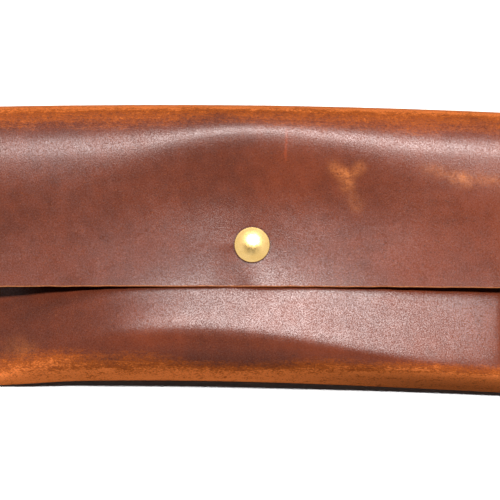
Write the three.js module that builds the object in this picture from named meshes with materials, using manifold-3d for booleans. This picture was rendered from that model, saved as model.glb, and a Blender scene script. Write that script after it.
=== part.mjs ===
// A leather flap case closed by one press stud, lying on its back.
//
// The hide is one strip: back panel, bottom fold, front panel, and over the rolled top fold the flap.
// The front and back panels are sewn together along both ends, so the pouch swells between two flat
// seams. The rolled top fold is the living hinge. It is cut into stretches that turn one after another.
//
// Millimetres. +X runs along the case, +Y towards the top fold, +Z out of the front.
// The origin is under the middle of the case, on the surface that it lies on.

import * as THREE from 'three';
import { mergeVertices } from 'three/addons/utils/BufferGeometryUtils.js';
import Module from 'manifold-3d';

const wasm = await Module();
wasm.setup();

// Driving dimensions of the hide.
const WIDTH = 165;
const HEIGHT = 83;
const LEATHER = 2;
const GAP = 0.3; // clearance between pieces that touch on the real case

// The rolled top fold is a half round, and its height is the height of the closed case.
const FOLD_RADIUS = 11.25;
const FOLD_Y = HEIGHT / 2 - FOLD_RADIUS;
const FOLD_Z = FOLD_RADIUS;
const HINGE_ANGLES = [Math.PI / 6, Math.PI / 2, (5 * Math.PI) / 6];

// The flap runs from the top fold's crest, through a low seat at the press stud, to its cut edge.
const FLAP_SEAT_Z = 18.5;
const FLAP_EDGE_Y = -14.2;
const FLAP_EDGE_RISE = 1.4;

// The pouch: thickness over both panels at its middle and at its sewn ends.
const BODY_THICKNESS = 20.3;
const SEAM_THICKNESS = 2 * LEATHER + 0.4;
const SEAM_FROM_X = 77;
const SWELL_POWER = 6;
const SWELL_SOFTNESS = 1.4;
const MOUTH_Y = 29;
const MOUTH_FALL = 6.3;
const FALL_RATE = 2.2;
const RIDGE_ROUNDING = 0.05;

// The hollow that the closed press stud pulls into the front panel.
const FRONT_SEAT_Z = 12.5;
const HOLLOW_X = 30;
const HOLLOW_Y = 12;

// Press stud.
const STUD_Y = -1.5;
const CAP_RADIUS = 5.3;
const CAP_RISE = 1.4;
const HOLE_RADIUS = 2.1;
const ROUND_STEPS = 28;

// Side seams.
const SEAM_X = 79;
const SEAM_START_Y = -37;
const SEAM_END_Y = 25;
const STITCHES = 15;
const THREAD_RADIUS = 0.35;
const GROOVE_WIDTH = 1.6;
const GROOVE_DEPTH = 1;

const leather = new THREE.MeshStandardMaterial({ color: 0x7a3f2a, roughness: 0.5, metalness: 0 });
const brass = new THREE.MeshStandardMaterial({ color: 0xe0b668, roughness: 0.2, metalness: 1 });
const springWire = new THREE.MeshStandardMaterial({ color: 0xb9bcc0, roughness: 0.3, metalness: 1 });
const waxedThread = new THREE.MeshStandardMaterial({ color: 0x54301f, roughness: 0.7, metalness: 0 });

const leatherCase = new THREE.Group();

function addMesh(name, geometry, material, parent = leatherCase) {
  const mesh = new THREE.Mesh(geometry, material);
  mesh.name = name;
  parent.add(mesh);
  return mesh;
}

// ---- Solids from closed meshes ----

function toSolid(geometry) {
  const bare = geometry.clone();
  bare.deleteAttribute('normal');
  bare.deleteAttribute('uv');
  const merged = mergeVertices(bare, 1e-4);
  return new wasm.Manifold(new wasm.Mesh({
    numProp: 3,
    vertProperties: new Float32Array(merged.attributes.position.array),
    triVerts: new Uint32Array(merged.index.array),
  }));
}

function toGeometry(solid) {
  const mesh = solid.getMesh();
  const geometry = new THREE.BufferGeometry();
  geometry.setAttribute('position', new THREE.BufferAttribute(mesh.vertProperties, 3));
  geometry.setIndex(new THREE.BufferAttribute(mesh.triVerts, 1));
  geometry.computeVertexNormals();
  return geometry;
}

// ---- Hide: a flat strip of leather bent to follow a surface ----

// The surface is a function of x and a station, and gives a point on the outer, grain face.
// The strip is a box whose layers are laid on that face and one thickness behind it.
function bentStrip(xs, stations, surface) {
  const strip = new THREE.BoxGeometry(1, 1, 1, xs.length - 1, stations.length - 1, 1);
  const position = strip.attributes.position;
  for (let i = 0; i < position.count; i += 1) {
    const x = xs[Math.round((position.getX(i) + 0.5) * (xs.length - 1))];
    const station = stations[Math.round((position.getY(i) + 0.5) * (stations.length - 1))];
    const point = surface(x, station);
    if (position.getZ(i) < 0) {
      point.addScaledVector(outwards(x, station, surface), -LEATHER);
    }
    position.setXYZ(i, point.x, point.y, point.z);
  }
  return strip;
}

function outwards(x, station, surface) {
  const step = 1e-3;
  const alongX = surface(x + step, station).sub(surface(x - step, station));
  const alongStrip = surface(x, station + step).sub(surface(x, station - step));
  return alongStrip.cross(alongX).normalize();
}

function steps(from, to, count) {
  return Array.from({ length: count + 1 }, (_, i) => from + ((to - from) * i) / count);
}

// ---- Rolled top fold and flap ----

// Stations on the fold are angles from the back panel (0) to the crest (PI).
function foldPoint(x, angle) {
  return new THREE.Vector3(
    x,
    FOLD_Y + FOLD_RADIUS * Math.sin(angle),
    FOLD_Z - FOLD_RADIUS * Math.cos(angle),
  );
}

// The grain face of the flap: a slow S from the crest down to the seat, then up to the cut edge.
function flapHeight(y) {
  const fromStud = y - STUD_Y;
  if (fromStud > 0) {
    const drop = 2 * FOLD_RADIUS - FLAP_SEAT_Z;
    return FLAP_SEAT_Z + (drop * (1 - Math.cos((Math.PI * fromStud) / (FOLD_Y - STUD_Y)))) / 2;
  }
  return FLAP_SEAT_Z + FLAP_EDGE_RISE * (fromStud / (FLAP_EDGE_Y - STUD_Y)) ** 2;
}

// Flap stations are angles up to the crest, then the distance beyond it plus PI.
function flapPoint(x, station) {
  if (station <= Math.PI) {
    return foldPoint(x, station);
  }
  const y = FOLD_Y - (station - Math.PI);
  return new THREE.Vector3(x, y, flapHeight(y));
}

const bothEnds = [-WIDTH / 2, WIDTH / 2];
const halfCut = GAP / FOLD_RADIUS / 2;
const [firstHinge, secondHinge, lastHinge] = HINGE_ANGLES;

const lowerStations = steps(secondHinge - halfCut, firstHinge + halfCut, 7);
addMesh('fold_lower', bentStrip(bothEnds, lowerStations, foldPoint), leather);

const upperStations = steps(lastHinge - halfCut, secondHinge + halfCut, 7);
addMesh('fold_upper', bentStrip(bothEnds, upperStations, foldPoint), leather);

function studHole(lowZ, highZ) {
  const hole = new THREE.CylinderGeometry(HOLE_RADIUS, HOLE_RADIUS, highZ - lowZ, ROUND_STEPS);
  hole.rotateX(Math.PI / 2);
  hole.translate(0, STUD_Y, (lowZ + highZ) / 2);
  return toSolid(hole);
}

const flapStations = [
  ...steps(Math.PI + FOLD_Y - FLAP_EDGE_Y, Math.PI + FOLD_Y, 4),
  ...steps(Math.PI + FOLD_Y, Math.PI, 10).slice(1),
  ...steps(Math.PI, lastHinge + halfCut, 4).slice(1),
];
const wholeFlap = toSolid(bentStrip(bothEnds, flapStations, flapPoint));
const flapHole = studHole(FLAP_SEAT_Z - 2 * LEATHER, FLAP_SEAT_Z + LEATHER);
addMesh('flap', toGeometry(wholeFlap.subtract(flapHole)), leather);

// ---- Pouch: start of the top fold, back panel, bottom fold and front panel ----

// How far the pouch has swollen at x: 0 on the flat seams, 1 in the middle.
function swell(x) {
  const towardsSeam = Math.min(Math.abs(x) / SEAM_FROM_X, 1);
  return (1 - towardsSeam ** SWELL_POWER) ** SWELL_SOFTNESS;
}

function pouchThickness(x) {
  return SEAM_THICKNESS + (BODY_THICKNESS - SEAM_THICKNESS) * swell(x);
}

// How much of its fall the front panel has made: 0 on the ridge of the bottom fold, 1 at the mouth.
// It leaves the ridge level, is soon at its steepest, and then flattens out.
function fallen(along) {
  const pastRidge = along - RIDGE_ROUNDING * (1 - Math.exp(-along / RIDGE_ROUNDING));
  return (1 - Math.exp(-FALL_RATE * pastRidge)) / (1 - Math.exp(-FALL_RATE));
}

// The front panel falls from the bottom fold to the mouth, and dips to a flat seat under the stud.
function frontHeight(x, y) {
  const foldEnd = -HEIGHT / 2 + pouchThickness(x) / 2;
  const along = Math.max((y - foldEnd) / (MOUTH_Y - foldEnd), 0);
  const free = pouchThickness(x) - MOUTH_FALL * swell(x) * fallen(along);
  const reach = (x / HOLLOW_X) ** 2 + ((y - STUD_Y) / HOLLOW_Y) ** 2;
  const pull = Math.exp(-(reach ** 2));
  return free * (1 - pull) + FRONT_SEAT_Z * pull;
}

// Pouch stations: 0 to 1 front panel from its mouth, 1 to 2 bottom fold, 2 to 3 back panel,
// and from 3 the start of the top fold, as its angle plus 3.
function pouchPoint(x, station) {
  const radius = pouchThickness(x) / 2;
  const foldEnd = -HEIGHT / 2 + radius;
  if (station < 1) {
    const y = MOUTH_Y + (foldEnd - MOUTH_Y) * station;
    return new THREE.Vector3(x, y, frontHeight(x, y));
  }
  if (station < 2) {
    const angle = Math.PI * (station - 1);
    return new THREE.Vector3(
      x,
      foldEnd - radius * Math.sin(angle),
      radius + radius * Math.cos(angle),
    );
  }
  if (station < 3) {
    return new THREE.Vector3(x, foldEnd + (FOLD_Y - foldEnd) * (station - 2), 0);
  }
  return foldPoint(x, station - 3);
}

const halfXs = [0, 6, 12, 18, 25, 33, 42, 50, 57, 63, 68, 72, 75, SEAM_FROM_X, WIDTH / 2];
const pouchXs = [...halfXs.slice(1).reverse().map((x) => -x), ...halfXs];
const pouchStations = [
  ...steps(3 + firstHinge - halfCut, 3, 3),
  ...steps(3, 2, 4).slice(1),
  ...steps(2, 1, 10).slice(1),
  ...steps(1, 0, 18).slice(1),
];

function seamGroove(side, lowZ, highZ) {
  const length = SEAM_END_Y - SEAM_START_Y + 2;
  const groove = new THREE.BoxGeometry(GROOVE_WIDTH, length, highZ - lowZ);
  groove.translate(side * SEAM_X, (SEAM_START_Y + SEAM_END_Y) / 2, (lowZ + highZ) / 2);
  return toSolid(groove);
}

let pouch = toSolid(bentStrip(pouchXs, pouchStations, pouchPoint).toNonIndexed());
pouch = pouch.subtract(studHole(FRONT_SEAT_Z - 2 * LEATHER, FRONT_SEAT_Z + LEATHER));
for (const side of [-1, 1]) {
  pouch = pouch.subtract(seamGroove(side, SEAM_THICKNESS - GROOVE_DEPTH, SEAM_THICKNESS + 1));
  pouch = pouch.subtract(seamGroove(side, -1, GROOVE_DEPTH));
}
addMesh('body_wrap', toGeometry(pouch), leather);

// ---- Press stud: every piece is turned about the stud's axis ----

const pressStud = new THREE.Group();
pressStud.rotation.x = Math.PI / 2;
pressStud.position.y = STUD_Y;
leatherCase.add(pressStud);

function addTurned(name, profile, material) {
  const points = profile.map(([radius, height]) => new THREE.Vector2(radius, height));
  addMesh(name, new THREE.LatheGeometry(points, ROUND_STEPS), material, pressStud);
}

// A shallow dome of brass sheet whose rim is rolled in under the disc of the post.
const capBase = FLAP_SEAT_Z + GAP;
const capWall = 0.3;
const domeFoot = capBase + 0.8;
const domeRadius = (CAP_RADIUS ** 2 + CAP_RISE ** 2) / (2 * CAP_RISE);

function domeHeight(radius) {
  const crown = domeFoot + CAP_RISE - domeRadius;
  return crown + Math.sqrt(domeRadius ** 2 - radius ** 2);
}

addTurned('cap_shell', [
  ...steps(0, CAP_RADIUS - capWall, 5).map((radius) => [radius, domeHeight(radius) - capWall]),
  [CAP_RADIUS - capWall, capBase + capWall],
  [CAP_RADIUS - 0.9, capBase + capWall],
  [CAP_RADIUS - 0.9, capBase],
  [CAP_RADIUS - 0.25, capBase],
  [CAP_RADIUS, capBase + 0.25],
  ...steps(CAP_RADIUS, 0, 6).map((radius) => [radius, domeHeight(radius)]),
], brass);

// The disc is trapped in the cap. Its hollow post goes through flap and socket and is flared below.
const socketTop = FLAP_SEAT_Z - LEATHER - GAP;
const socketWeb = 0.4;
const postRadius = 1.6;
const postBore = 1;
const discRadius = 4.55;
const discTop = capBase + 0.75;
const discFoot = discTop - 0.25;
addTurned('cap_post', [
  [0, discFoot],
  [postBore, discFoot],
  [postBore, socketTop - socketWeb - 0.35],
  [2.5, socketTop - socketWeb - 0.65],
  [2.6, socketTop - socketWeb - 0.4],
  [postRadius, socketTop - socketWeb - GAP],
  [postRadius, discFoot],
  [discRadius, discFoot],
  [discRadius, discTop],
  [0, discTop],
], brass);

// A cup, open downwards, with a web that the post grips and a groove that holds the spring.
const socketFoot = FRONT_SEAT_Z + 0.9;
const socketBore = 3.7;
const grooveRadius = 4.2;
const socketRadius = 4.7;
const grooveLow = socketFoot + 0.25;
const grooveHigh = grooveLow + 0.75;
addTurned('socket', [
  [postRadius + GAP, socketTop - socketWeb],
  [socketBore, socketTop - socketWeb],
  [socketBore, grooveHigh],
  [grooveRadius, grooveHigh],
  [grooveRadius, grooveLow],
  [socketBore, grooveLow],
  [socketBore, socketFoot],
  [socketRadius - 0.25, socketFoot],
  [socketRadius, socketFoot + 0.25],
  [socketRadius, socketTop - socketWeb],
  [socketRadius + 0.4, socketTop - socketWeb],
  [socketRadius + 0.4, socketTop],
  [postRadius + GAP, socketTop],
  [postRadius + GAP, socketTop - socketWeb],
], brass);

// A split ring of spring wire that grips the neck of the stud.
class RingArc extends THREE.Curve {
  getPoint(t, target = new THREE.Vector3()) {
    const angle = ringSplit / 2 + (2 * Math.PI - ringSplit) * t;
    return target.set(ringRadius * Math.cos(angle), ringRadius * Math.sin(angle), 0);
  }
}

function wireAlong(curve, radius, sides, count) {
  const section = new THREE.Shape();
  section.absarc(0, 0, radius, 0, 2 * Math.PI);
  return new THREE.ExtrudeGeometry(section, {
    curveSegments: sides,
    steps: count,
    extrudePath: curve,
    bevelEnabled: false,
  });
}

const ringSplit = 0.35;
const ringRadius = 3.75;
const ringWire = 0.28;
const spring = addMesh('socket_spring', wireAlong(new RingArc(), ringWire, 6, 26), springWire);
spring.position.set(0, STUD_Y, (grooveLow + grooveHigh) / 2);

// A flange, a waist and a round head, with a countersunk hole for the eyelet's flare.
const studFoot = FRONT_SEAT_Z + GAP;
const studTop = studFoot + 2.1;
addTurned('stud', [
  [1.7, studFoot],
  [4.2, studFoot],
  [4.2, studFoot + 0.35],
  [2.7, studFoot + 0.45],
  [2.5, studFoot + 0.6],
  [2.5, studFoot + 1.35],
  [2.85, studFoot + 1.6],
  [2.85, studFoot + 1.85],
  [2.6, studTop],
  [2.4, studTop],
  [1.7, studTop - 0.4],
  [1.7, studFoot],
], brass);

// A hollow rivet: broad flange inside the pocket, tube through the hide, flare in the stud's head.
const eyeletFoot = FRONT_SEAT_Z - LEATHER - GAP - 0.5;
addTurned('stud_eyelet', [
  [0.9, eyeletFoot],
  [4.1, eyeletFoot],
  [4.3, eyeletFoot + 0.2],
  [4.1, eyeletFoot + 0.5],
  [1.4, eyeletFoot + 0.5],
  [1.4, studTop - 0.45],
  [1.95, studTop - 0.1],
  [1.75, studTop],
  [0.9, studTop - 0.35],
  [0.9, eyeletFoot],
], brass);

// ---- Lock-stitched side seams: one thread on each face, dipping at every needle hole ----

class StitchLine extends THREE.Curve {
  constructor(x, z, dip) {
    super();
    this.x = x;
    this.z = z;
    this.dip = dip;
  }

  getPoint(t, target = new THREE.Vector3()) {
    const y = SEAM_START_Y + (SEAM_END_Y - SEAM_START_Y) * t;
    const wave = (1 + Math.cos(2 * Math.PI * STITCHES * t)) / 2;
    return target.set(this.x, y, this.z + this.dip * wave);
  }
}

const threadDip = 0.25;
const topThreadZ = SEAM_THICKNESS;
const underThreadZ = THREAD_RADIUS + 0.1;
for (const [name, side] of [['left', -1], ['right', 1]]) {
  const topLine = new StitchLine(side * SEAM_X, topThreadZ, -threadDip);
  const underLine = new StitchLine(side * SEAM_X, underThreadZ, 0.1);
  addMesh(`${name}_top_thread`, wireAlong(topLine, THREAD_RADIUS, 6, STITCHES * 4), waxedThread);
  addMesh(`${name}_under_thread`, wireAlong(underLine, THREAD_RADIUS, 6, STITCHES * 4), waxedThread);
}

export default leatherCase;
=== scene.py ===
import math

import bmesh
import bpy
import numpy as np
from mathutils import Matrix, Vector


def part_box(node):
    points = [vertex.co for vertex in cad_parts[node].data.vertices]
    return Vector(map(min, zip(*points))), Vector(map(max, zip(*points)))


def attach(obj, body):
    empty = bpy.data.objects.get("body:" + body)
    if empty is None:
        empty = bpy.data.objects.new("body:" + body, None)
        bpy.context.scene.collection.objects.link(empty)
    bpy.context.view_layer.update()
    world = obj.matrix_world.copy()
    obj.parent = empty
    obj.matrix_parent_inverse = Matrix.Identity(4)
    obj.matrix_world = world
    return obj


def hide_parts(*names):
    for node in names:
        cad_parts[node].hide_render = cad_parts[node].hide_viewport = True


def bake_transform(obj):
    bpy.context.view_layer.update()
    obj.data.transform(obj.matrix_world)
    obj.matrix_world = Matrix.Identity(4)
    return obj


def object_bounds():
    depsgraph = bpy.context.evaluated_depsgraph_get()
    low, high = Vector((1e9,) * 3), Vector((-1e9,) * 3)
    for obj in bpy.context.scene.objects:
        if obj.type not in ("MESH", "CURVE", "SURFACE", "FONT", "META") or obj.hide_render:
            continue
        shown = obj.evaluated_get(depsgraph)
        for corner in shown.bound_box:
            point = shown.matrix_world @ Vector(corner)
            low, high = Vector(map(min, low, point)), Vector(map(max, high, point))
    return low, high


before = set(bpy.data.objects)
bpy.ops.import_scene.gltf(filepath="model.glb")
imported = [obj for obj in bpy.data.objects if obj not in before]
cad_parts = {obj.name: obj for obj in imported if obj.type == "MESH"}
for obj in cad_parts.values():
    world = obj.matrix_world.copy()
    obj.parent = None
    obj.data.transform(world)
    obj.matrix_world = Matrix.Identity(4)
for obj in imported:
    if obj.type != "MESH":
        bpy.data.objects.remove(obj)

cad_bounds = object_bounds()

# ---------------------------------------------------------------------------
# Camera. A long lens almost straight above the closed case, leaning a little to
# the pouch's bottom side. Both sewn ends lie just outside the picture.
# ---------------------------------------------------------------------------
view_width = 0.1496
view_tilt = math.radians(5.0)
view_roll = math.radians(0.72)
view_distance = 0.75
looked_at = Vector((-0.0006, -0.0029, 0.017))

camera_data = bpy.data.cameras.new("case_camera")
camera_data.sensor_width = 36
camera_data.lens = camera_data.sensor_width * view_distance / view_width
camera = bpy.data.objects.new("case_camera", camera_data)
camera_place = looked_at + view_distance * Vector((0, -math.sin(view_tilt), math.cos(view_tilt)))
camera_turn = Matrix.Rotation(view_tilt, 4, "X") @ Matrix.Rotation(view_roll, 4, "Z")
camera.matrix_world = Matrix.Translation(camera_place) @ camera_turn
bpy.context.collection.objects.link(camera)
bpy.context.scene.camera = camera

# ---------------------------------------------------------------------------
# Light. A broad softbox over the folded side gives the hide its sheen and is seen
# only by reflections. A low softbox and a small lamp overhead light the colours.
# ---------------------------------------------------------------------------
def softbox(name, tilt_x, tilt_y, distance, width, height, power):
    """A rectangular lamp aimed at the case: it stands at distance along (tan tilt_x, tan tilt_y, 1), so
    tilt_x leans it to the right and tilt_y to the folded side, in degrees."""
    lamp = bpy.data.lights.new(name, "AREA")
    lamp.shape = "RECTANGLE"
    lamp.size = width
    lamp.size_y = height
    lamp.energy = power
    placed = bpy.data.objects.new(name, lamp)
    towards = Vector((math.tan(math.radians(tilt_x)), math.tan(math.radians(tilt_y)), 1)).normalized()
    placed.location = looked_at + distance * towards
    placed.rotation_euler = (-towards).to_track_quat("-Z", "Y").to_euler()
    bpy.context.collection.objects.link(placed)
    return placed


sheen_softbox = softbox("sheen_softbox", 4, 23, 1.0, 0.50, 0.40, 25)
sheen_softbox.visible_diffuse = False
key_softbox = softbox("key_softbox", 4, 40, 1.2, 0.30, 0.30, 6)
key_softbox.visible_glossy = False
overhead_lamp = softbox("overhead_lamp", 1, 8, 1.4, 0.08, 0.08, 26)
overhead_lamp.visible_glossy = False

# The room gives little light, but its walls look bright in reflections and pale to the eye.
room_light = 0.02
room_seen_extra = 0.60
world = bpy.data.worlds.new("studio")
bpy.context.scene.world = world
world.use_nodes = True
studio = world.node_tree
backdrop = studio.nodes["Background"]
backdrop.inputs["Color"].default_value = (1, 1, 1, 1)
direction = studio.nodes.new("ShaderNodeSeparateXYZ")
studio.links.new(studio.nodes.new("ShaderNodeTexCoord").outputs["Generated"], direction.inputs["Vector"])


def room_ramp(from_min, from_max, to_min, to_max):
    """The height of a direction, from from_min to from_max, mapped to to_min to to_max."""
    ramp = studio.nodes.new("ShaderNodeMapRange")
    numbers = (from_min, from_max, to_min, to_max)
    for socket, number in zip(("From Min", "From Max", "To Min", "To Max"), numbers):
        ramp.inputs[socket].default_value = number
    studio.links.new(direction.outputs["Z"], ramp.inputs["Value"])
    return ramp


walls = room_ramp(0.97, 0.76, 0.05, 0.95)
walls.interpolation_type = "SMOOTHSTEP"
above_table = room_ramp(-0.05, 0.10, 0.04, 1.0)
reflected = studio.nodes.new("ShaderNodeMath")
reflected.operation = "MULTIPLY"
studio.links.new(walls.outputs["Result"], reflected.inputs[0])
studio.links.new(above_table.outputs["Result"], reflected.inputs[1])
ray = studio.nodes.new("ShaderNodeLightPath")
seen = studio.nodes.new("ShaderNodeMath")
seen.operation = "MULTIPLY_ADD"
seen.inputs[1].default_value = room_seen_extra
seen.inputs[2].default_value = room_light
studio.links.new(ray.outputs["Is Camera Ray"], seen.inputs[0])
strength = studio.nodes.new("ShaderNodeMix")
studio.links.new(seen.outputs["Value"], strength.inputs["A"])
studio.links.new(ray.outputs["Is Glossy Ray"], strength.inputs["Factor"])
studio.links.new(reflected.outputs["Value"], strength.inputs["B"])
studio.links.new(strength.outputs["Result"], backdrop.inputs["Strength"])
bpy.context.scene.view_settings.view_transform = "Standard"

# ---------------------------------------------------------------------------
# Table. A plain pale sheet under the case, just clear of its back panel. It isn't
# seen in reflections and throws no light back, so the gap under the case is dark.
# ---------------------------------------------------------------------------
table_reach = 1.3
table_clearance = 0.00005
table_z = float(cad_bounds[0][2]) - table_clearance
table_mesh = bpy.data.meshes.new("table")
table_mesh.from_pydata(
    [(-table_reach, -table_reach, table_z), (table_reach, -table_reach, table_z),
     (table_reach, table_reach, table_z), (-table_reach, table_reach, table_z)], [], [(0, 1, 2, 3)])
table = bpy.data.objects.new("table", table_mesh)
bpy.context.collection.objects.link(table)
table_paint = bpy.data.materials.new("table_paint")
table_paint.use_nodes = True
table_shader = table_paint.node_tree.nodes["Principled BSDF"]
table_shader.inputs["Base Color"].default_value = (0.93, 0.93, 0.93, 1)
table_shader.inputs["Roughness"].default_value = 0.9
table_shader.inputs["Specular IOR Level"].default_value = 0.1
table_mesh.materials.append(table_paint)
table.visible_glossy = False
table.visible_diffuse = False

# ---------------------------------------------------------------------------
# Pouch. Front panel, bottom fold and back panel are one strip of 2 mm waxed hide.
# Its two ends are glued flat and sewn, so it swells between them, and the stud
# holds the middle of the front panel down.
# ---------------------------------------------------------------------------
mm = 0.001
leather = 2.0 * mm
half_width = float(cad_bounds[1][0] - cad_bounds[0][0]) / 2
half_height = float(cad_bounds[1][1] - cad_bounds[0][1]) / 2
pouch_low, pouch_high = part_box("body_wrap")
pouch_thickness = float(pouch_high[2] - pouch_low[2])
stud_low, stud_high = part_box("stud")
stud_y = float(stud_low[1] + stud_high[1]) / 2
stud_clearance = 0.3 * mm
front_seat_z = float(stud_low[2]) - stud_clearance
flap_edge_y = float(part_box("flap")[0][1])
seam_thickness = 2 * leather + 0.4 * mm
seam_x = 79 * mm
back_split_y = 20 * mm
mouth_y = 29 * mm
cut_bulge = 0.32 * mm


def ease(start, end, value):
    """Smoothstep: 0 below start, 1 above end, and 3t^2 - 2t^3 between them."""
    t = np.clip((value - start) / (end - start), 0, 1)
    return t * t * (3 - 2 * t)


rng = np.random.default_rng(7)
wave_turns = rng.uniform(0, 2 * np.pi, 26)
wave_sizes = rng.uniform(0.55, 1.8, 26)
wave_phases = rng.uniform(0, 2 * np.pi, 26)


def unevenness(a, b, size):
    """A soft random surface, about -1 to 1: the sum of 26 plane sine waves about as long as size, over
    root 26."""
    total = np.zeros_like(a)
    for turn, scale, phase in zip(wave_turns, wave_sizes, wave_phases):
        total += np.sin((a * np.cos(turn) + b * np.sin(turn)) * 2 * np.pi * scale / size + phase)
    return total / math.sqrt(26)


def arched(x, y):
    """The whole case bows towards its folded side: at x its edges lie 1.2 mm * (x / 75 mm)^2 lower."""
    return y - 1.2 * mm * (x / (75 * mm)) ** 2


def swell(x):
    """0 on the flat seams and 1 over the middle: (1 - (|x| / 78.3 mm)^n)^1.4, where n is 4 on the left
    and 100 on the right, and the right falls away slowly by a further 0.30 * ((x - 5 mm) / 70 mm)^2."""
    power = np.where(x < 0, 4, 100)
    fallen = 1 - 0.30 * (np.clip(x - 5 * mm, 0, None) / (70 * mm)) ** 2
    return (1 - np.clip(np.abs(x) / (78.3 * mm), 0, 1) ** power) ** 1.4 * fallen


def thickness_at(x):
    """Thickness over both panels at x: the seam's, and the rest of the pouch's times swell."""
    return seam_thickness + (pouch_thickness - seam_thickness) * swell(x)


def bottom_reach(x):
    """How far in from the bottom line the ridge of the front panel lies. The fold is full on the left,
    lean on the right: half the seam's thickness, and half the rest times a factor that falls from 1.55
    to 0.58."""
    fullness = 1.55 - 0.97 * ease(-18 * mm, 63 * mm, x)
    return seam_thickness / 2 + (thickness_at(x) - seam_thickness) / 2 * fullness


def bottom_drop(x):
    """How much lower than the box the bottom line hangs, before the bow: 0.3 mm, with 0.7 mm more at
    the left end and up to 1.2 mm more towards the right end."""
    return (0.3 + 1.2 * ease(-40 * mm, 85 * mm, x) + 0.7 * ease(-50 * mm, -76 * mm, x)) * mm


def front_height(x, y):
    """Grain face of the front panel. From the ridge it falls to the mouth as 1 - exp(-2.2 t), with the
    ridge rounded over its first twentieth and more fall towards both ends. Near the stud it dips to the
    stud's seat by a bell exp(-r^4), and it ripples by 0.10 mm."""
    ridge_y = bottom_reach(x) - half_height
    along = np.clip((y - ridge_y) / (mouth_y - ridge_y), 0, None)
    past = along - 0.05 * (1 - np.exp(-along / 0.05))
    fallen = (1 - np.exp(-2.2 * past)) / (1 - np.exp(-2.2))
    slack = 1 + 0.35 * ease(-5 * mm, -60 * mm, x) + 0.15 * ease(20 * mm, 60 * mm, x)
    free = thickness_at(x) - 6.6 * mm * slack * swell(x) * fallen
    held = np.exp(-((x / (28 * mm)) ** 2 + ((y - stud_y) / (9.5 * mm)) ** 2) ** 2)
    ripple = 0.10 * mm * unevenness(x, y, 34 * mm) * swell(x) * (1 - held) * ease(0, 0.15, along)
    return free * (1 - held) + front_seat_z * held + ripple


def pouch_point(x, s):
    """Grain face of the pouch: s 0 to 1 is the front panel from its mouth, 1 to 2 the bottom fold, and
    2 to 3 the back panel, flat on the table. The fold is two quarter ellipses that meet at its
    outermost line, lower at the right; the upper one is drawn towards its chord, by 0.9 sin^2 of its
    angle, which makes the line sharper."""
    thick = thickness_at(x)
    bottom_y = -half_height - bottom_drop(x)
    ridge_y = bottom_reach(x) - half_height
    reach = ridge_y - bottom_y
    outermost_z = thick * (0.5 - 0.03 * swell(x) - 0.14 * ease(-5 * mm, 65 * mm, x))
    front_y = mouth_y + (ridge_y - mouth_y) * np.clip(s, 0, 1)
    angle = np.pi * np.clip(s - 1, 0, 1)
    upper = angle < np.pi / 2
    inset = np.where(upper, reach, outermost_z)
    fold_y = bottom_y + inset * (1 - np.sin(angle))
    flatter = 0.9 * np.sin(angle) ** 2 * (1 - np.sin(angle) - np.cos(angle))
    rise = np.where(upper, (np.cos(angle) + flatter) * (thick - outermost_z), np.cos(angle) * outermost_z)
    fold_z = outermost_z + rise
    back_start_y = outermost_z + bottom_y
    back_y = back_start_y + (back_split_y - back_start_y) * np.clip(s - 2, 0, 1)
    y = np.where(s <= 1, front_y, np.where(s < 2, fold_y, back_y))
    z = np.where(s <= 1, front_height(x, front_y), np.where(s < 2, fold_z, 0))
    return np.stack([x, arched(x, y), z], -1)


front_groove = 0.28 * mm
back_groove = 0.74 * mm
first_hole_y = -37 * mm
last_hole_y = 25 * mm
stitches = 15


def pressed_seam(x, points, s):
    """How deep the seam is pressed in: a groove exp(-(distance from the seam / 0.62 mm)^4), deeper on
    the back so that the thread stays clear of the table, and a dimple round each needle hole."""
    on_panel = (s < 1) | (s > 2)
    across = (np.abs(x) - seam_x) / (0.62 * mm)
    depth = np.where(s < 1, front_groove, back_groove)
    row_y = points[..., 1] - arched(x, 0 * x)
    along = (row_y - first_hole_y) / (last_hole_y - first_hole_y)
    in_row = ease(-0.02, 0.0, along) * ease(1.02, 1.0, along)
    off_hole = (along * stitches - np.round(along * stitches)) * (last_hole_y - first_hole_y) / stitches
    hole = 0.30 * mm * np.exp(-(off_hole / (0.6 * mm)) ** 2 - across ** 2)
    return in_row * on_panel * (depth * np.exp(-across ** 4) + hole)


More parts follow.
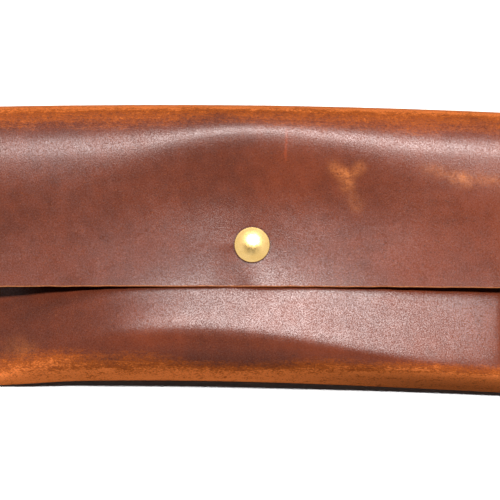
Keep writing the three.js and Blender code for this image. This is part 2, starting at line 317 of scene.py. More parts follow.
def lay_hide(name, surface, xs, ss, step_s, cut, pressed=None):
    """A piece of hide over the grid xs by ss: the grain face on surface(x, s), the flesh face one
    thickness behind, and a wall all round. cut says which sides (first s, last s, first x, last x) are
    cut edges, where the wall bulges as a superellipse |cos|^0.6, |sin|^0.6; on the others it is
    straight, because the next piece of hide goes on."""
    grid_x, grid_s = np.meshgrid(xs, ss, indexing="ij")
    step_x = 0.05 * mm
    along_x = surface(grid_x + step_x, grid_s) - surface(grid_x - step_x, grid_s)
    along_s = surface(grid_x, grid_s + step_s) - surface(grid_x, grid_s - step_s)
    normal = np.cross(along_s, along_x)
    normal /= np.linalg.norm(normal, axis=-1, keepdims=True)
    grain = surface(grid_x, grid_s)
    flesh = grain - normal * leather
    if pressed is not None:
        grain = grain - normal * pressed(grid_x, grain, grid_s)[..., None]
    rows, columns = grid_x.shape
    index = np.arange(rows * columns).reshape(rows, columns)
    grain_quads = np.stack([index[:-1, :-1], index[:-1, 1:], index[1:, 1:], index[1:, :-1]], -1)
    grain_quads = grain_quads.reshape(-1, 4)
    flesh_quads = grain_quads[:, ::-1] + rows * columns
    loop = np.concatenate([index[:-1, 0], index[-1, :-1], index[:0:-1, -1], index[0, :0:-1]])
    loop_x, loop_s = loop // columns, loop % columns
    inner_x = np.clip(loop_x, 1, rows - 2)
    inner_s = np.clip(loop_s, 1, columns - 2)
    outwards = np.zeros((len(loop), 3))
    bulge = np.zeros(len(loop))
    sides = (loop_s == 0, loop_s == columns - 1, loop_x == 0, loop_x == rows - 1)
    insides = (grain[loop_x, inner_s], grain[loop_x, inner_s], grain[inner_x, loop_s], grain[inner_x, loop_s])
    for on_side, inside, is_cut in zip(sides, insides, cut):
        if is_cut:
            away = grain[loop_x, loop_s] - inside
            away /= np.maximum(np.linalg.norm(away, axis=-1, keepdims=True), 1e-12)
            outwards += away * on_side[:, None]
            bulge = np.where(on_side, cut_bulge, bulge)
    outwards /= np.maximum(np.linalg.norm(outwards, axis=-1, keepdims=True), 1e-12)
    middle = (grain[loop_x, loop_s] + flesh[loop_x, loop_s]) / 2
    half = (grain[loop_x, loop_s] - flesh[loop_x, loop_s]) / 2
    rings = []
    for turn in np.linspace(0, np.pi, 7)[1:-1]:
        up = np.sign(np.cos(turn)) * abs(np.cos(turn)) ** 0.6
        rings.append(middle + half * up + outwards * (bulge * np.sin(turn) ** 0.6)[:, None])
    points = np.concatenate([grain.reshape(-1, 3), flesh.reshape(-1, 3), *rings])
    ring_indices = [loop]
    for k in range(len(rings)):
        ring_indices.append(2 * rows * columns + k * len(loop) + np.arange(len(loop)))
    ring_indices.append(loop + rows * columns)
    walls = np.concatenate([
        np.stack([above, below, np.roll(below, -1), np.roll(above, -1)], -1)
        for above, below in zip(ring_indices[:-1], ring_indices[1:])])
    faces = np.concatenate([grain_quads, flesh_quads, walls])
    kinds = np.repeat([0, 1, 2], [len(grain_quads), len(flesh_quads), len(walls)])
    mesh = bpy.data.meshes.new(name)
    mesh.from_pydata(points, [], faces.tolist())
    mesh.polygons.foreach_set("material_index", kinds.astype(np.int32))
    mesh.polygons.foreach_set("use_smooth", np.ones(len(faces), bool))
    mesh.set_sharp_from_angle(angle=math.radians(50))
    piece = bpy.data.objects.new(name, mesh)
    bpy.context.collection.objects.link(piece)
    return piece


class Finish:
    """One material, with short ways to add the shader nodes that the finishes of this case need."""

    def __init__(self, name):
        self.material = bpy.data.materials.new(name)
        self.material.use_nodes = True
        self.tree = self.material.node_tree
        self.shader = self.tree.nodes["Principled BSDF"]

    def add(self, kind, **settings):
        node = self.tree.nodes.new(kind)
        for key, value in settings.items():
            if key in node.inputs.keys():
                node.inputs[key].default_value = value
            else:
                setattr(node, key, value)
        return node

    def link(self, source, target):
        self.tree.links.new(source, target)

    def place(self, scale=(1, 1, 1), turn=(0, 0, 0)):
        """Object coordinates, turned by turn in radians and stretched by scale."""
        mapping = self.add("ShaderNodeMapping")
        mapping.inputs["Scale"].default_value = scale
        mapping.inputs["Rotation"].default_value = turn
        self.link(self.add("ShaderNodeTexCoord").outputs["Object"], mapping.inputs["Vector"])
        return mapping.outputs["Vector"]

    def noise(self, where, scale, detail=2.0, roughness=0.5, distortion=0.0):
        node = self.add("ShaderNodeTexNoise", Scale=scale, Detail=detail, Roughness=roughness,
                        Distortion=distortion)
        self.link(where, node.inputs["Vector"])
        return node.outputs["Fac"]

    def cells(self, where, scale):
        node = self.add("ShaderNodeTexVoronoi", Scale=scale)
        self.link(where, node.inputs["Vector"])
        return node.outputs["Distance"]

    def ramp(self, value, low, high, start=0.0, end=1.0):
        """value from low to high, mapped smoothly to start to end."""
        node = self.add("ShaderNodeMapRange", interpolation_type="SMOOTHSTEP")
        for socket, number in zip(("From Min", "From Max", "To Min", "To Max"), (low, high, start, end)):
            node.inputs[socket].default_value = number
        self.link(value, node.inputs["Value"])
        return node.outputs["Result"]

    def math(self, operation, a, b=0.0, clamp=False):
        node = self.add("ShaderNodeMath", operation=operation, use_clamp=clamp)
        for socket, value in zip(node.inputs, (a, b)):
            if isinstance(value, (int, float)):
                socket.default_value = value
            else:
                self.link(value, socket)
        return node.outputs["Value"]

    def vary(self, value, pattern, amount, clamp=False):
        """value + (pattern - 0.5) * amount."""
        swing = self.math("MULTIPLY", self.math("SUBTRACT", pattern, 0.5), amount)
        return self.math("ADD", value, swing, clamp)

    def mix(self, amount, a, b):
        node = self.add("ShaderNodeMix", data_type="RGBA")
        sockets = [socket for socket in node.inputs if socket.enabled]
        for socket, value in zip(sockets, (amount, a, b)):
            if isinstance(value, (int, float, tuple)):
                socket.default_value = value
            else:
                self.link(value, socket)
        return next(socket for socket in node.outputs if socket.enabled)

    def bump(self, height, distance, strength=1.0, over=None):
        node = self.add("ShaderNodeBump", Strength=strength, Distance=distance)
        self.link(height, node.inputs["Height"])
        if over is not None:
            self.link(over, node.inputs["Normal"])
        return node.outputs["Normal"]


def grain_finish():
    """Waxed pull-up leather: red-brown where it lies flat, redder and lighter towards the right, partly the
    hide's own tone and partly painted light; orange where the attribute pull_up_and_light says that folding
    or rubbing has driven the wax aside, brightest along the bottom fold, partly painted light on its steep
    face; a painted shade in a thin dark ring round the cap; and streaks along the case, one scar, dark
    flecks, pores and fine scratches. Its shine varies from pore to pore."""
    wax_brown = (0.102, 0.0240, 0.0125, 1)
    # The redder, lighter brown used towards the right: partly the hide's tone, partly painted light from the
    # right.
    wax_red_and_painted_light = (0.168, 0.0345, 0.0140, 1)
    pulled_orange = (0.350, 0.0760, 0.0105, 1)
    rubbed_tan = (0.50, 0.150, 0.040, 1)
    # The brightest orange, for the bottom fold: partly pulled-up wax, partly painted light on its steep face.
    bent_orange_and_painted_light = (0.74, 0.190, 0.044, 1)
    # Dark brown for the real flecks, and for a painted shade ring round the cap.
    fleck_and_ring_shade_brown = (0.050, 0.0135, 0.0080, 1)
    scar_red = (0.36, 0.060, 0.016, 1)
    scar_x = 0.0098
    n = Finish("pull_up_leather")
    where = n.place()
    pull = n.add("ShaderNodeAttribute", attribute_name="pull_up_and_light").outputs["Fac"]
    warm = n.add("ShaderNodeAttribute", attribute_name="warmth_and_light").outputs["Fac"]
    rub = n.add("ShaderNodeAttribute", attribute_name="rubbed").outputs["Fac"]
    cloud = n.noise(where, 190, 5, 0.66, 0.3)
    mottle = n.noise(where, 420, 5, 0.68)
    streaks = n.noise(n.place((70, 900, 300), (0, 0, 0.03)), 1.0, 4, 0.66, 0.4)
    fleck = n.noise(n.place((1, 2.2, 1)), 1250, 4, 0.76)
    speckle = n.noise(where, 2300, 2, 0.6)
    pulled = n.vary(pull, mottle, 0.70)
    pulled = n.vary(pulled, streaks, 0.70)
    pulled = n.vary(pulled, fleck, 1.55, clamp=True)
    pulled = n.math("MULTIPLY", pulled, n.ramp(pull, 0.02, 0.26))
    body = n.mix(n.vary(warm, cloud, 0.8, clamp=True), wax_brown, wax_red_and_painted_light)
    colour = n.mix(n.ramp(pulled, 0.12, 0.85), body, pulled_orange)
    # Painted light: where pull is highest, along the bottom fold, the orange is made brighter still.
    colour = n.mix(n.ramp(pulled, 0.70, 1.00, 0, 0.9), colour, bent_orange_and_painted_light)
    worn = n.math("MULTIPLY", rub, n.ramp(n.math("ADD", mottle, fleck), 0.74, 1.22, 0.25, 1.25), clamp=True)
    colour = n.mix(worn, colour, rubbed_tan)
    x, y, _ = n.add("ShaderNodeSeparateXYZ").outputs
    n.link(n.place((1, 1, 1), (0, 0, 0.02)), x.node.inputs["Vector"])
    wandering_x = n.math("ADD", x, n.math("MULTIPLY", mottle, 0.0012))
    off_scar = n.math("ABSOLUTE", n.math("SUBTRACT", wandering_x, scar_x))
    scar = n.math("MULTIPLY", n.ramp(off_scar, 0.0007, 0.0001), n.ramp(y, 0.0225, 0.0260))
    scar = n.math("MULTIPLY", scar, n.ramp(y, 0.0345, 0.0310, 0, 0.38))
    colour = n.mix(scar, colour, scar_red)
    colour = n.mix(n.ramp(speckle, 0.55, 0.75, 0, 0.16), colour, rubbed_tan)
    colour = n.mix(n.ramp(n.noise(where, 1700, 3, 0.6), 0.54, 0.72, 0, 0.50), colour, fleck_and_ring_shade_brown)
    # Painted shade: a dark ring on the hide just round the cap's rim, 5.2 to 6.2 mm from the stud's axis.
    from_cap = n.add("ShaderNodeAttribute", attribute_name="from_cap").outputs["Fac"]
    colour = n.mix(n.ramp(from_cap, 0.0062, 0.0052, 0, 0.75), colour, fleck_and_ring_shade_brown)
    n.link(colour, n.shader.inputs["Base Color"])
    rough = n.math("ADD", n.ramp(cloud, 0.3, 0.7, 0.28, 0.34), n.math("MULTIPLY", pulled, 0.16))
    n.link(rough, n.shader.inputs["Roughness"])
    grain = n.math("ADD", n.math("MULTIPLY", n.cells(where, 2800), 0.5), n.noise(where, 3600, 3, 0.7))
    scratches = n.noise(n.place((60, 2400, 100), (0, 0, 0.09)), 1.0, 2, 0.5)
    normal = n.bump(grain, 0.00004, 0.6)
    normal = n.bump(n.ramp(scratches, 0.66, 0.78), 0.00002, 0.3, normal)
    n.link(normal, n.shader.inputs["Normal"])
    sparkle = n.ramp(n.noise(where, 2800, 2, 0.6), 0.36, 0.64, 0.10, 0.36)
    n.link(sparkle, n.shader.inputs["Specular IOR Level"])
    n.shader.inputs["Specular Tint"].default_value = (1, 0.92, 0.91, 1)
    return n.material


def flesh_finish():
    """The unlined back of the hide: a matt, fibrous nap, paler than the grain face."""
    n = Finish("flesh_side")
    where = n.place()
    nap = n.noise(n.place((1, 2.5, 1)), 900, 5, 0.7, 0.6)
    colour = n.mix(n.ramp(n.noise(where, 70, 3), 0.3, 0.7), (0.15, 0.054, 0.027, 1), (0.20, 0.076, 0.038, 1))
    colour = n.mix(n.ramp(nap, 0.45, 0.75, 0, 0.7), colour, (0.32, 0.15, 0.076, 1))
    n.link(colour, n.shader.inputs["Base Color"])
    n.link(n.ramp(nap, 0.3, 0.7, 0.85, 0.98), n.shader.inputs["Roughness"])
    n.link(n.bump(nap, 0.00018, 0.9), n.shader.inputs["Normal"])
    n.shader.inputs["Specular IOR Level"].default_value = 0.25
    return n.material


def edge_finish():
    """A raw knife-cut edge: orange-brown fibre, streaked along the thickness."""
    n = Finish("cut_edge")
    fibres = n.noise(n.place((1, 1, 3)), 1400, 5, 0.7)
    colour = n.mix(n.ramp(fibres, 0.35, 0.7), (0.30, 0.080, 0.020, 1), (0.62, 0.210, 0.060, 1))
    n.link(colour, n.shader.inputs["Base Color"])
    n.link(n.ramp(fibres, 0.3, 0.7, 0.6, 0.8), n.shader.inputs["Roughness"])
    n.link(n.bump(fibres, 0.00012, 0.8), n.shader.inputs["Normal"])
    return n.material


hide_finishes = (grain_finish(), flesh_finish(), edge_finish())


def pulled_by_stud(x):
    """How far the press stud holds the flap down at x: exp(-(|x - 2 mm| / 36 mm)^2.2)."""
    return np.exp(-(np.abs(x - 2 * mm) / (36 * mm)) ** 2.2)


def stroke(x, y, start, end, width):
    """A rubbed stroke from start to end: exp(-(distance to the segment / width)^2)."""
    (ax, ay), (bx, by) = start, end
    t = np.clip(((x - ax) * (bx - ax) + (y - ay) * (by - ay)) / ((bx - ax) ** 2 + (by - ay) ** 2), 0, 1)
    return np.exp(-((x - ax - t * (bx - ax)) ** 2 + (y - ay - t * (by - ay)) ** 2) / width ** 2)


def finish_hide(piece, rubs):
    """Gives a piece of hide its three finishes and four attributes. pull_up_and_light says how far the wax
    has
    moved: most along both folds, and more along the bottom fold, most at its right end, where it is partly
    painted light on the steep face; rubbed says where it is worn paler, by strokes (start, end, width,
    amount) in mm; warmth says how red and light the brown is, more towards the right, partly the hide's
    tone and partly painted light; from_cap is the distance from the stud's axis, on the flap only, which
    places a painted shade ring round the cap."""
    mesh = piece.data
    for material in hide_finishes:
        mesh.materials.append(material)
    places = np.empty(len(mesh.vertices) * 3)
    mesh.vertices.foreach_get("co", places)
    x, y, z = places.reshape(-1, 3).T
    y = y - arched(x, 0 * x)
    drift = unevenness(x, y, 38 * mm)
    ragged = unevenness(x, y, 7 * mm)
    top_reach = (7.3 + 1.4 * (1 - pulled_by_stud(x))) * mm
    on_top = ease(-1.6, -0.25, (y - half_height) / top_reach + 0.12 * drift)
    bottom_width = (9.2 - 3.0 * ease(-60 * mm, -20 * mm, x)) * mm
    on_bottom = ease(-1.35, -0.35, (-half_height - y) / bottom_width + 0.12 * drift)
    rubbed = np.zeros_like(x)
    for start, end, width, amount in rubs:
        ends = [(px * mm, py * mm) for px, py in (start, end)]
        rubbed = np.maximum(rubbed, amount * stroke(x, y, *ends, width * mm) * (1 + 0.25 * ragged))
    on_rim = ease(3.6 * mm, 0.4 * mm, half_height - np.abs(y))
    # Painted light: the bottom fold is made lighter towards its right end.
    painted_light_on_right = 0.22 * ease(5 * mm, 60 * mm, x) * on_bottom
    # The bottom fold's larger weight and the right-end term are partly painted light on its steep face.
    pull = 0.60 * on_top + 0.78 * on_bottom + painted_light_on_right + 0.46 * on_rim + 0.40 * rubbed
    # Redder and lighter towards the right: partly the hide's own tone, partly painted light.
    warmth_and_light = 0.25 + 0.55 * ease(-20 * mm, 75 * mm, x) + 0.22 * drift + 0.12 * ragged
    over_panel = z > 15 * mm
    from_cap = np.where(over_panel, np.hypot(x, y - stud_y), 1)
    for name, values in (("pull_up_and_light", pull), ("warmth_and_light", warmth_and_light), ("rubbed", rubbed), ("from_cap", from_cap)):
        written = mesh.attributes.new(name, "FLOAT", "POINT")
        written.data.foreach_set("value", np.clip(values, 0, 1).astype(np.float32))


def spaced(*stretches):
    """Joins stretches (from, to, count) into one list of stations without doubles."""
    parts = [np.linspace(start, end, count + 1) for start, end, count in stretches]
    return np.concatenate([parts[0], *(part[1:] for part in parts[1:])])


half_xs = spaced((0, 66 * mm, 64), (66 * mm, 73 * mm, 9), (73 * mm, 80.4 * mm, 36),
                 (80.4 * mm, half_width - cut_bulge, 3))
strip_xs = np.concatenate([-half_xs[:0:-1], half_xs])

pouch_hide = lay_hide(
    "pouch_hide", pouch_point, strip_xs, spaced((0, 1, 100), (1, 2, 44), (2, 3, 78)), 1e-3,
    (True, False, True, True), pressed_seam)
finish_hide(pouch_hide, [((-67.0, -32.0), (-72.0, -31.0), 2.6, 0.25)])
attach(pouch_hide, "pouch")
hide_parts("body_wrap")

# ---------------------------------------------------------------------------
# Rolled fold and flap. The strip goes on from the back panel, rolls over the
# mouth and lies on the front as the flap, in three stretches of hide, and the
# press stud pulls the flap's middle down.
# ---------------------------------------------------------------------------
roll_radius = float(cad_bounds[1][2] - cad_bounds[0][2]) / 2
flap_seat_z = float(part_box("cap_shell")[0][2]) - stud_clearance
roll_start = half_height - roll_radius - back_split_y
crest = roll_start + math.pi * roll_radius
flap_length = half_height - roll_radius - flap_edge_y
edge = crest + flap_length


def crest_inset(x):
    """How far the crest lies in from the outermost line: 10 mm where the stud pulls, and up to 8.2 mm
    more at the left end and 5.6 mm more at the right end, where the flap is slack."""
    slack = (8.2 - 2.6 * ease(-35 * mm, 35 * mm, x)) * mm
    return 10 * mm + slack * (1 - pulled_by_stud(x))


def edge_line(x):
    """y of the flap's cut edge: a knife line that isn't quite square to the case, before the case's
    bow."""
    hollow = 0.9 * mm * (x / (75 * mm)) ** 2
    return flap_edge_y + 0.9 * mm + hollow + 0.010 * x + 0.05 * mm * unevenness(x, 0 * x, 9 * mm)


def flap_height(x, y):
    """Grain face of the flap. Held, it falls from the crest to the stud as half a cosine of t^1.65,
    which is steepest near the crest, and climbs again to its edge as a square, with a crease left of
    the stud. Free, it droops 2.9 mm as a bell. The stud's pull blends the two, and its cap presses a
    shallow dish."""
    top_z = 2 * roll_radius
    dish = 0.4 * mm
    seat_z = flap_seat_z + dish
    crest_y = half_height - crest_inset(x)
    above = np.clip((y - stud_y) / (crest_y - stud_y), 0, 1)
    below = np.clip((stud_y - y) / (stud_y - flap_edge_y), 0, None)
    lift = (0.75 - 0.25 * ease(0, 20 * mm, x)) * mm * below ** 2
    crease = 1.0 * mm * below * np.exp(-((x + 6 * mm) / (5.5 * mm)) ** 2)
    held = seat_z + (top_z - seat_z) * (1 - np.cos(np.pi * above ** 1.65)) / 2 + lift - crease
    free = top_z - 2.9 * mm * (1 - np.exp(-(np.clip(crest_y - y, 0, None) / (22 * mm)) ** 2))
    from_stud = np.hypot(x, y - stud_y)
    ripple = 0.09 * mm * unevenness(x, y, 36 * mm) * ease(crest_y + 2 * mm, crest_y - 12 * mm, y)
    ripple *= 1 - np.exp(-(from_stud / (14 * mm)) ** 2)
    return free + (held - free) * pulled_by_stud(x) - dish * np.exp(-(from_stud / (7.5 * mm)) ** 2) + ripple


def strip_point(x, s):
    """Grain face of the strip at distance s from the pouch: the flat back, a quarter circle, a quarter
    ellipse that reaches in to the crest, and the flap."""
    inset = crest_inset(x)
    angle = np.clip((s - roll_start) / roll_radius, 0, np.pi)
    reach = np.where(angle > np.pi / 2, inset, roll_radius)
    roll_y = half_height - reach * (1 - np.sin(angle))
    roll_z = roll_radius * (1 - np.cos(angle))
    crest_y = half_height - inset
    flap_y = crest_y + (edge_line(x) - crest_y) * np.clip((s - crest) / flap_length, 0, None)
    y = np.where(s < roll_start, back_split_y + s, np.where(s < crest, roll_y, flap_y))
    z = np.where(s < roll_start, 0, np.where(s < crest, roll_z, flap_height(x, flap_y)))
    return np.stack([x, arched(x, y), z], -1)


def roll_station(degrees):
    """Distance along the strip to that angle of the roll: 0 where it leaves the back, 180 at its crest."""
    return roll_start + math.radians(degrees) * roll_radius


def roll_place(degrees):
    """The place of the hide at that angle of the roll, halfway along the case."""
    return tuple(float(v) for v in strip_point(np.array(0.0), np.array(roll_station(degrees))))


flap_rubs = [
    ((24.3, 21.8), (27.8, 18.6), 1.8, 0.54), ((32.0, 22.3), (28.4, 18.6), 1.6, 0.42),
    ((27.8, 20.0), (28.4, 16.5), 1.8, 0.56), ((28.6, 16.0), (31.0, 11.0), 1.9, 0.26),
    ((60.2, 19.8), (64.5, 19.6), 2.0, 0.60), ((52.0, 22.0), (59.0, 21.0), 1.8, 0.26),
    ((67.0, 19.8), (77.0, 19.2), 1.9, 0.30),
]


def strip_stretch(name, start, end, last_cut, turning):
    """A stretch of the strip between two stations; the roll places at the two turning angles are worked
    out but not used. Its first and last steps are very short, so that the shading runs on into the next
    stretch."""
    step = 0.05 * mm
    count = int((end - start) / (0.5 * mm))
    stations = spaced((start, start + step, 1), (start + step, end - step, count), (end - step, end, 1))
    piece = lay_hide(name, strip_point, strip_xs, stations, 0.02 * mm, (False, last_cut, True, True))
    finish_hide(piece, flap_rubs if last_cut else [])
    roll_place(turning[0])
    roll_place(turning[1])
    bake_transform(piece)
    return piece


fold_start = strip_stretch(
    "fold_start_hide", 0, roll_station(60), False, (4, 56))
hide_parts("fold_lower")
fold_middle = strip_stretch(
    "fold_middle_hide", roll_station(60), roll_station(120), False,
    (64, 116))
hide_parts("fold_upper")
flap_hide = strip_stretch(
    "flap_hide", roll_station(120), edge, True, (124, 176))
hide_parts("flap")

# ---------------------------------------------------------------------------
# Seam threads. Each sewn end has two waxed threads, one on the front and one on
# the back, which lock in the needle holes. Each is three strands laid together.
# ---------------------------------------------------------------------------
thread_radius = 0.35 * mm


def thread_finish():
    """Waxed brown thread, with painted shade in the grooves where the strands meet, and a dull shine."""
    n = Finish("waxed_thread")
    fuzz = n.noise(n.place(), 2600, 3, 0.6)
    lay = n.add("ShaderNodeAttribute", attribute_name="strand").outputs["Fac"]
    # Painted shade: darker in the grooves between the strands.
    colour = n.mix(n.ramp(lay, 0.0, 0.8), (0.055, 0.024, 0.012, 1), (0.235, 0.115, 0.058, 1))
    colour = n.mix(n.ramp(fuzz, 0.4, 0.7, 0, 0.5), colour, (0.33, 0.18, 0.10, 1))
    n.link(colour, n.shader.inputs["Base Color"])
    n.link(n.ramp(fuzz, 0.3, 0.7, 0.42, 0.6), n.shader.inputs["Roughness"])
    n.link(n.bump(fuzz, 0.00004, 0.6), n.shader.inputs["Normal"])
    return n.material


waxed_thread = thread_finish()


def sew_thread(name, side, rest_z, dip):
    """One thread along a seam: its height is rest_z, and dip further at every needle hole, as (cos + 1)
    / 2 to the power 4. Its section is a circle with three lobes that turn once every 2.2 mm."""
    along = np.linspace(0, 1, stitches * 22 + 1)
    around = np.linspace(0, 2 * np.pi, 18, endpoint=False)
    path_y = first_hole_y + (last_hole_y - first_hole_y) * along
    in_hole = ((1 + np.cos(2 * np.pi * stitches * along)) / 2) ** 4
    path_z = rest_z + dip * in_hole
    slope = np.gradient(path_z, path_y)
    lean = np.arctan(slope)[:, None]
    lobes = np.abs(np.cos(1.5 * (around[None] - 2 * np.pi * (path_y / (2.2 * mm))[:, None])))
    ends = np.sqrt(np.clip(1 - (np.abs(2 * along - 1) ** 400), 0, 1))[:, None]
    radius = thread_radius * (0.80 + 0.20 * lobes) * np.maximum(ends, 0.05)
    across, up = radius * np.cos(around), radius * np.sin(around)
    x = side * seam_x + across
    y = path_y[:, None] - up * np.sin(lean)
    z = path_z[:, None] + up * np.cos(lean)
    points = np.stack([x, arched(np.full_like(y, seam_x), y), z], -1).reshape(-1, 3)
    rows, columns = len(along), len(around)
    index = np.arange(rows * columns).reshape(rows, columns)
    ahead = np.roll(index, -1, axis=1)
    quads = np.stack([index[:-1], index[1:], ahead[1:], ahead[:-1]], -1).reshape(-1, 4).tolist()
    mesh = bpy.data.meshes.new(name)
    mesh.from_pydata(points, [], quads + [index[0].tolist(), index[-1][::-1].tolist()])
    mesh.polygons.foreach_set("use_smooth", np.ones(len(mesh.polygons), bool))
    written = mesh.attributes.new("strand", "FLOAT", "POINT")
    written.data.foreach_set("value", lobes.ravel().astype(np.float32))
    mesh.materials.append(waxed_thread)
    piece = bpy.data.objects.new(name + "_twist", mesh)
    bpy.context.collection.objects.link(piece)
    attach(piece, "pouch")
    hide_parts(name)


for hand, side in (("left", -1), ("right", 1)):
    sew_thread(hand + "_top_thread", side, seam_thickness - front_groove + 0.24 * mm, -0.50 * mm)
    sew_thread(hand + "_under_thread", side, thread_radius + 0.06 * mm, 0.40 * mm)

# ---------------------------------------------------------------------------
# Press stud, flap half. A domed brass cap is rolled over the disc of a hollow
# post; the post goes through the flap and a sprung socket and is flared below.
# ---------------------------------------------------------------------------
def add_turned(name, profile, node, body, finish, around=96):
    """A piece turned on a lathe about the stud's axis: the closed profile (radius, height) carried once
    round."""
    profile = np.asarray(profile, float)
    angles = np.linspace(0, 2 * np.pi, around, endpoint=False)
    radius, height = profile.T
    x = radius[None] * np.cos(angles)[:, None]
    y = radius[None] * np.sin(angles)[:, None] + stud_y
    points = np.stack([x, y, np.broadcast_to(height, x.shape)], -1).reshape(-1, 3)
    index = np.arange(around * len(profile)).reshape(around, -1)
    ahead = np.roll(index, -1, axis=0)
    quads = np.stack([index, ahead, np.roll(ahead, -1, axis=1), np.roll(index, -1, axis=1)], -1)
    mesh = bpy.data.meshes.new(name)
    mesh.from_pydata(points, [], quads.reshape(-1, 4).tolist())
    work = bmesh.new()
    work.from_mesh(mesh)
    bmesh.ops.remove_doubles(work, verts=work.verts, dist=1e-7)
    bmesh.ops.dissolve_degenerate(work, edges=work.edges, dist=1e-8)
    bmesh.ops.recalc_face_normals(work, faces=work.faces)
    work.to_mesh(mesh)
    work.free()
    mesh.polygons.foreach_set("use_smooth", np.ones(len(mesh.polygons), bool))
    mesh.set_sharp_from_angle(angle=math.radians(38))
    mesh.materials.append(finish)
    piece = bpy.data.objects.new(name, mesh)
    bpy.context.collection.objects.link(piece)
    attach(piece, body)
    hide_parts(node)


def arc(centre, radius, start, end, count=8):
    """Points on a circle of the profile plane, from start to end degrees."""
    turns = np.radians(np.linspace(start, end, count + 1))
    return [(centre[0] + radius * math.cos(t), centre[1] + radius * math.sin(t)) for t in turns]


def brass_finish(name, bright, dull, shine):
    """Lacquered brass: bright and slightly dull patches, with shine as its lowest roughness."""
    n = Finish(name)
    where = n.place()
    colour = n.mix(n.ramp(n.noise(where, 330, 4, 0.6), 0.35, 0.75), bright, dull)
    n.link(colour, n.shader.inputs["Base Color"])
    n.link(n.ramp(n.noise(where, 1200, 4, 0.6), 0.3, 0.7, shine, shine + 0.08), n.shader.inputs["Roughness"])
    n.shader.inputs["Metallic"].default_value = 1
    return n.material


cap_brass = brass_finish("satin_brass", (0.95, 0.64, 0.25, 1), (0.85, 0.54, 0.18, 1), 0.25)
inner_brass = brass_finish("plain_brass", (0.80, 0.60, 0.30, 1), (0.62, 0.44, 0.21, 1), 0.22)

cap_low, cap_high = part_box("cap_shell")
cap_radius = float(cap_high[0] - cap_low[0]) / 2
cap_foot = float(cap_low[2]) - 0.12 * mm
cap_top = float(cap_high[2])
rim_round = 0.42 * mm
cap_wall = 0.26 * mm
dome_edge = cap_radius - 0.3 * mm
dome_rise = cap_top - cap_foot - 2 * rim_round + 0.06 * mm
dome_radius = (dome_edge ** 2 + dome_rise ** 2) / (2 * dome_rise)
dome_span = math.degrees(math.asin(dome_edge / dome_radius))
dome_centre = (0.0, cap_top - dome_radius)
rim_centre = (cap_radius - rim_round, cap_foot + rim_round)
add_turned("cap_dome", [
    *arc(dome_centre, dome_radius, 90, 90 - dome_span, 24),
    *arc(rim_centre, rim_round, 50, -90, 12),
    (cap_radius - 0.9 * mm, cap_foot),
    (cap_radius - 0.9 * mm, cap_foot + cap_wall),
    *arc(rim_centre, rim_round - cap_wall, -90, 30, 6),
    *arc(dome_centre, dome_radius - cap_wall, 90 - dome_span + 3, 90, 20),
], "cap_shell", "flap_body", cap_brass, 128)

post_low, post_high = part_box("cap_post")
post_top, post_foot = float(post_high[2]), float(post_low[2])
add_turned("cap_post_brass", [
    (0, post_top), (4.4 * mm, post_top), (4.5 * mm, post_top - 0.12 * mm), (4.4 * mm, post_top - 0.25 * mm),
    (1.6 * mm, post_top - 0.25 * mm), (1.6 * mm, post_foot + 0.40 * mm),
    *arc((2.45 * mm, post_foot + 0.15 * mm), 0.15 * mm, 90, -90, 6),
    (1.25 * mm, post_foot + 0.18 * mm), (1.0 * mm, post_foot + 0.45 * mm),
    (1.0 * mm, post_top - 0.30 * mm), (0, post_top - 0.25 * mm),
], "cap_post", "flap_body", inner_brass)

socket_low, socket_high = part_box("socket")
socket_foot, socket_top = float(socket_low[2]), float(socket_high[2])
web = 0.4 * mm
groove_low = socket_foot + 0.25 * mm
groove_high = groove_low + 0.75 * mm
add_turned("socket_brass", [
    (1.9 * mm, socket_top), (4.9 * mm, socket_top),
    *arc((4.9 * mm, socket_top - 0.2 * mm), 0.2 * mm, 90, -90, 6),
    (4.7 * mm, socket_top - web), (4.7 * mm, socket_foot + 0.25 * mm),
    *arc((4.45 * mm, socket_foot + 0.25 * mm), 0.25 * mm, 0, -90, 5),
    (3.9 * mm, socket_foot), (3.7 * mm, socket_foot + 0.12 * mm), (3.7 * mm, groove_low),
    (4.2 * mm, groove_low), (4.2 * mm, groove_high), (3.7 * mm, groove_high),
    (3.7 * mm, socket_top - web - 0.2 * mm), (3.5 * mm, socket_top - web), (1.9 * mm, socket_top - web),
], "socket", "flap_body", inner_brass)


def spring_finish():
    """Drawn spring steel: grey, with marks along the wire."""
    n = Finish("spring_steel")
    drawn = n.noise(n.place(), 1800, 3, 0.6)
    n.link(n.mix(drawn, (0.42, 0.43, 0.45, 1), (0.66, 0.67, 0.69, 1)), n.shader.inputs["Base Color"])
    n.link(n.ramp(drawn, 0.3, 0.7, 0.22, 0.36), n.shader.inputs["Roughness"])
    n.shader.inputs["Metallic"].default_value = 1
    return n.material


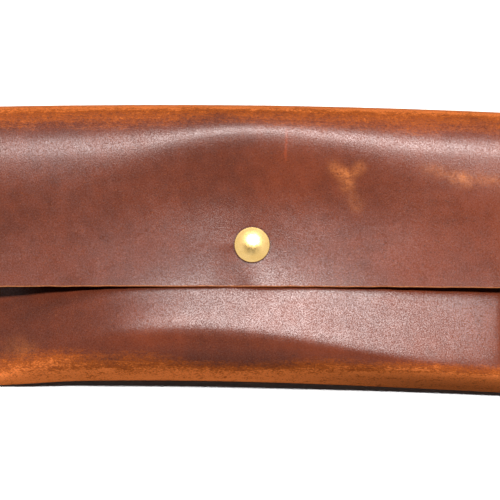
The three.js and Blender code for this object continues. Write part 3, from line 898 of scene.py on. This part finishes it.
ring_radius = 3.75 * mm
ring_wire = 0.28 * mm
ring_split = 0.35
ring_steps = 97
wire_sides = 14
ring_turns = np.linspace(ring_split / 2, 2 * np.pi - ring_split / 2, ring_steps)[:, None]
wire_turns = np.linspace(0, 2 * np.pi, wire_sides, endpoint=False)[None]
ring_reach = ring_radius + ring_wire * np.cos(wire_turns)
ring_points = np.stack([
    ring_reach * np.cos(ring_turns), stud_y + ring_reach * np.sin(ring_turns),
    (groove_low + groove_high) / 2 + ring_wire * np.sin(wire_turns) + 0 * ring_turns], -1).reshape(-1, 3)
ring_index = np.arange(ring_steps * wire_sides).reshape(ring_steps, wire_sides)
ring_ahead = np.roll(ring_index, -1, axis=1)
ring_quads = np.stack([ring_index[:-1], ring_index[1:], ring_ahead[1:], ring_ahead[:-1]], -1)
ring_ends = [ring_index[0].tolist(), ring_index[-1][::-1].tolist()]
ring_mesh = bpy.data.meshes.new("spring_ring")
ring_mesh.from_pydata(ring_points, [], ring_quads.reshape(-1, 4).tolist() + ring_ends)
ring_mesh.polygons.foreach_set("use_smooth", np.ones(len(ring_mesh.polygons), bool))
ring_mesh.materials.append(spring_finish())
spring_ring = bpy.data.objects.new("spring_ring", ring_mesh)
bpy.context.collection.objects.link(spring_ring)
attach(spring_ring, "flap_body")
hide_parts("socket_spring")

# ---------------------------------------------------------------------------
# Press stud, pouch half. The stud stands on the front panel, and a hollow rivet
# with a broad flange comes up from inside the pouch and is flared in its head.
# ---------------------------------------------------------------------------
stud_foot, stud_top = float(stud_low[2]), float(stud_high[2])
add_turned("stud_brass", [
    (1.7 * mm, stud_foot), (4.1 * mm, stud_foot),
    *arc((4.05 * mm, stud_foot + 0.15 * mm), 0.15 * mm, -60, 90, 5),
    (2.85 * mm, stud_foot + 0.38 * mm), *arc((2.85 * mm, stud_foot + 0.73 * mm), 0.35 * mm, -90, -180, 5),
    (2.5 * mm, stud_foot + 1.3 * mm), *arc((2.45 * mm, stud_top - 0.42 * mm), 0.42 * mm, -40, 80, 8),
    (2.4 * mm, stud_top), (1.9 * mm, stud_top - 0.18 * mm), (1.7 * mm, stud_top - 0.4 * mm),
], "stud", "pouch", inner_brass)

eyelet_low, eyelet_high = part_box("stud_eyelet")
eyelet_foot, eyelet_top = float(eyelet_low[2]), float(eyelet_high[2])
add_turned("stud_eyelet_brass", [
    (0.9 * mm, eyelet_foot + 0.1 * mm), (1.0 * mm, eyelet_foot), (4.05 * mm, eyelet_foot),
    *arc((4.05 * mm, eyelet_foot + 0.25 * mm), 0.25 * mm, -90, 90, 8),
    (1.4 * mm, eyelet_foot + 0.5 * mm), (1.4 * mm, eyelet_top - 0.45 * mm),
    *arc((1.78 * mm, eyelet_top - 0.12 * mm), 0.12 * mm, -30, 120, 6),
    (1.2 * mm, eyelet_top - 0.22 * mm), (0.9 * mm, eyelet_top - 0.5 * mm),
], "stud_eyelet", "pouch", inner_brass)
